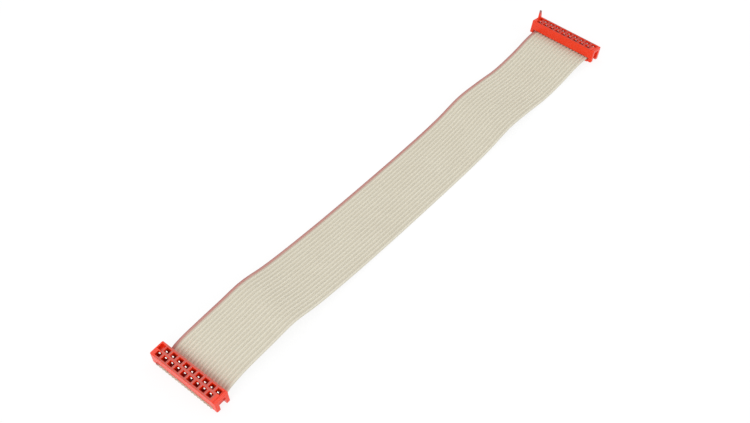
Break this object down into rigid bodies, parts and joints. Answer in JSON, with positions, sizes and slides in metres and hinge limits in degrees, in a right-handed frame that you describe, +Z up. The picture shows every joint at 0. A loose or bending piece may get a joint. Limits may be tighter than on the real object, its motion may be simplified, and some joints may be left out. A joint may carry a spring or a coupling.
{
  "type": "ribbon cable",
  "caption": "Beige flat ribbon cable with one red edge and a red insulation displacement connector pressed on each end.",
  "frame": {"origin": "middle of the whole cable in plan, on the plane that it rests on", "axes": "+X along the ribbon from connector a to connector b, +Y towards the ribbon's red edge, +Z up out of the connectors' mating faces"},
  "size_m": [0.1899, 0.026, 0.0086],
  "materials": {
    "insulation": "satin beige vinyl with one red edge conductor",
    "housing_plastic": "moulded red polyester, slightly glossy",
    "contact_metal": "tinned spring bronze"
  },
  "bodies": {
    "root": {"housing_a": "housing_plastic", "cover_a": "housing_plastic", "contact_a_01": "contact_metal", "contact_a_02": "contact_metal", "contact_a_03": "contact_metal", "contact_a_04": "contact_metal", "contact_a_05": "contact_metal", "contact_a_06": "contact_metal", "contact_a_07": "contact_metal", "contact_a_08": "contact_metal", "contact_a_09": "contact_metal", "contact_a_10": "contact_metal", "contact_a_11": "contact_metal", "contact_a_12": "contact_metal", "contact_a_13": "contact_metal", "contact_a_14": "contact_metal", "contact_a_15": "contact_metal", "contact_a_16": "contact_metal", "contact_a_17": "contact_metal", "contact_a_18": "contact_metal", "housing_b": "housing_plastic", "cover_b": "housing_plastic", "contact_b_01": "contact_metal", "contact_b_02": "contact_metal", "contact_b_03": "contact_metal", "contact_b_04": "contact_metal", "contact_b_05": "contact_metal", "contact_b_06": "contact_metal", "contact_b_07": "contact_metal", "contact_b_08": "contact_metal", "contact_b_09": "contact_metal", "contact_b_10": "contact_metal", "contact_b_11": "contact_metal", "contact_b_12": "contact_metal", "contact_b_13": "contact_metal", "contact_b_14": "contact_metal", "contact_b_15": "contact_metal", "contact_b_16": "contact_metal", "contact_b_17": "contact_metal", "contact_b_18": "contact_metal", "coding_key_b": "housing_plastic", "ribbon": "insulation"}
  },
  "joints": []
}
